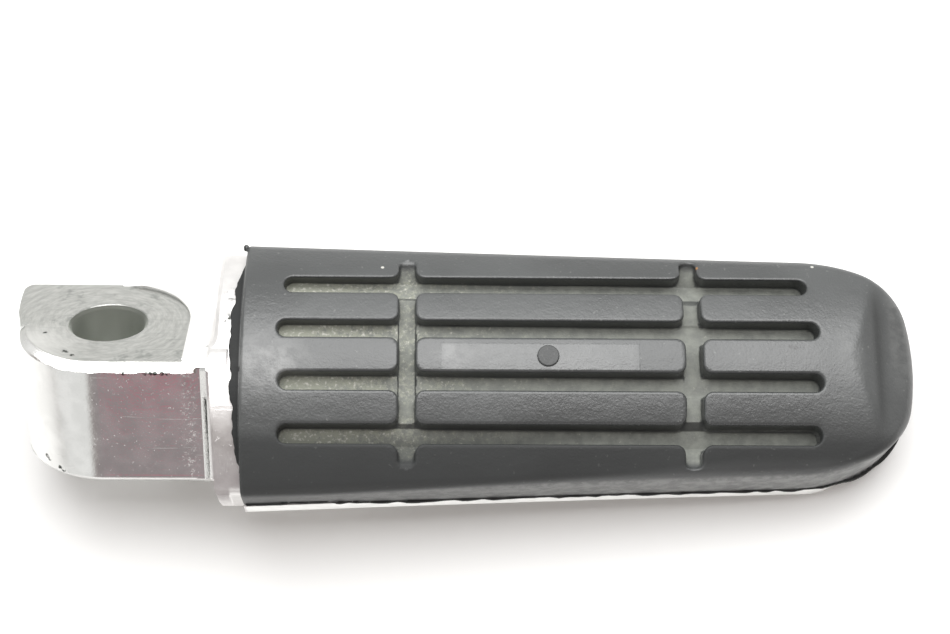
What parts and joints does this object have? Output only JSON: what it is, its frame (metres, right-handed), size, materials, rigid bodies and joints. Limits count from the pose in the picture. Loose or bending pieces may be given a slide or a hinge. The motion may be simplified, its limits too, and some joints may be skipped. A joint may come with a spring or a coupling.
{
  "type": "motorcycle passenger footpeg",
  "caption": "Folding passenger footpeg: cast aluminium body with a rolled pivot tongue and a grooved, crowned rubber tread.",
  "frame": {"origin": "middle of the pivot bore, half way between the tongue's two machined faces", "axes": "+X out along the peg to the free end, +Z square to the middle of the tread, pivot bore leaning 45 degrees from +Z towards +Y"},
  "size_m": [0.1245, 0.0366, 0.0295],
  "materials": {
    "aluminium": "cast, polished and worn",
    "rubber": "moulded, satin, used",
    "plate_steel": "plain",
    "zinc_steel": "zinc plated"
  },
  "bodies": {
    "root": {"peg_body": "aluminium", "tread_rubber": "rubber", "insert_plate": "plate_steel", "weld_nut_inner": "zinc_steel", "screw_inner": "zinc_steel", "flat_washer_inner": "zinc_steel", "spring_washer_inner": "zinc_steel", "weld_nut_outer": "zinc_steel", "screw_outer": "zinc_steel", "flat_washer_outer": "zinc_steel", "spring_washer_outer": "zinc_steel"}
  },
  "joints": []
}
